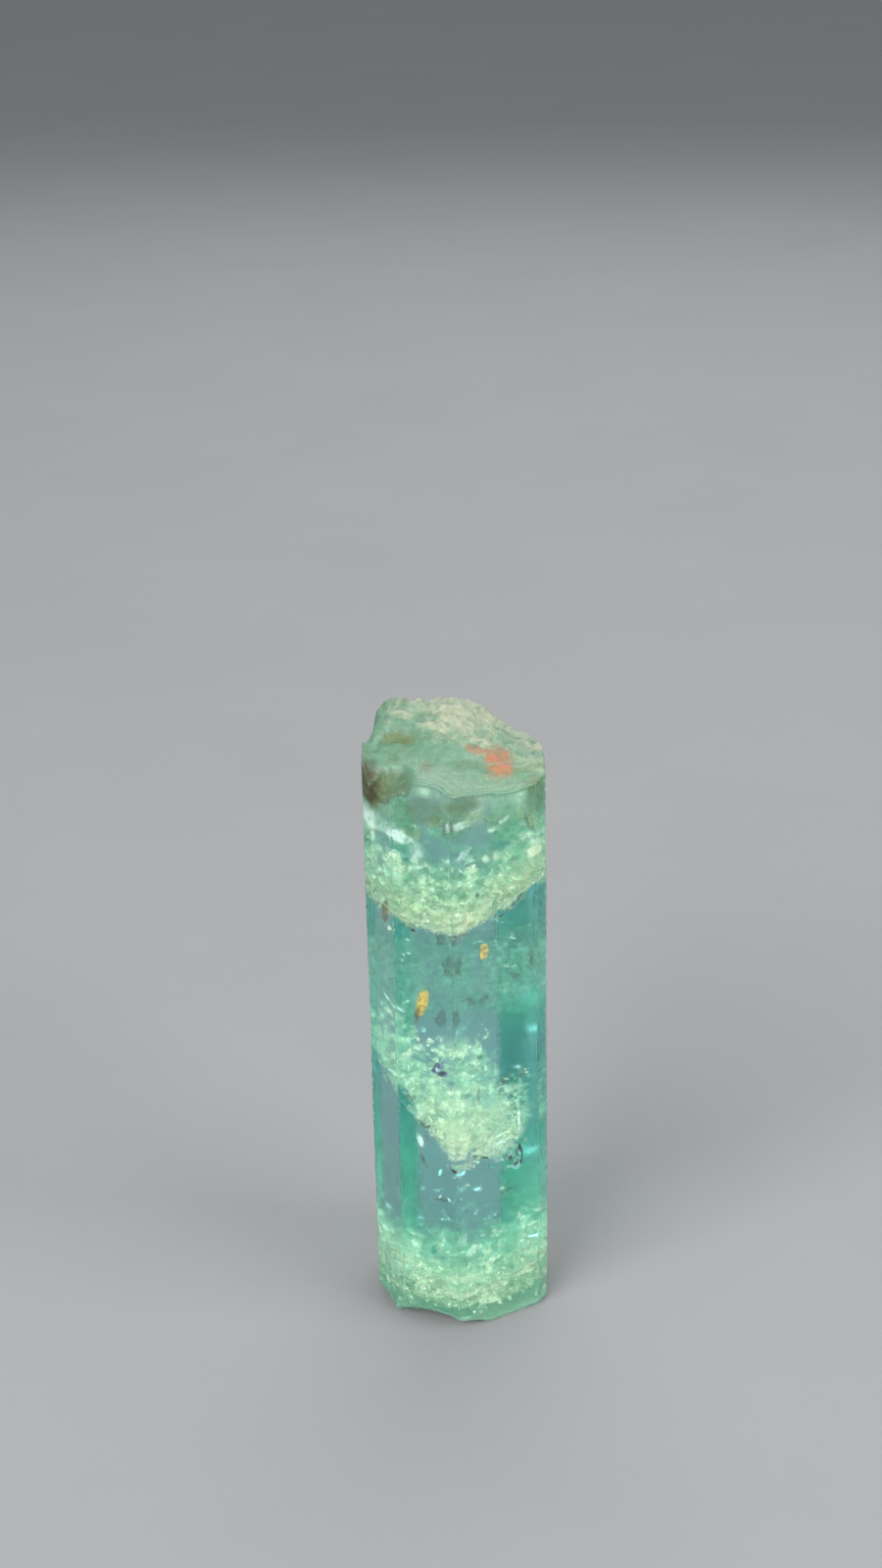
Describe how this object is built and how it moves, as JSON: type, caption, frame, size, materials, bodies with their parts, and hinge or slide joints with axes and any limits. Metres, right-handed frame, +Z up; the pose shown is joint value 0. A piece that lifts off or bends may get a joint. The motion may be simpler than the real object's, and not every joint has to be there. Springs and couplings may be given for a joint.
{
  "type": "emerald crystal",
  "caption": "Single upright hexagonal emerald prism, clear to cloudy blue-green, with a rough etched top and a flat foot to stand on.",
  "frame": {"origin": "middle of the crystal's bounding box at the level of its flat foot", "axes": "+Z up along the long crystal axis, -Y towards the sharp front edge, +X to the right of that edge"},
  "size_m": [0.01, 0.0116, 0.0359],
  "materials": {
    "emerald": "clear to cloudy blue-green crystal, glossy faces, etched matt top",
    "fracture_veil": "crackled silvery inner fractures",
    "iron_stain": "earthy orange to brown iron stain",
    "dark_mineral": "dark mica flecks with a dull metallic sheen"
  },
  "bodies": {
    "root": {"emerald_crystal": "emerald"}
  },
  "joints": []
}
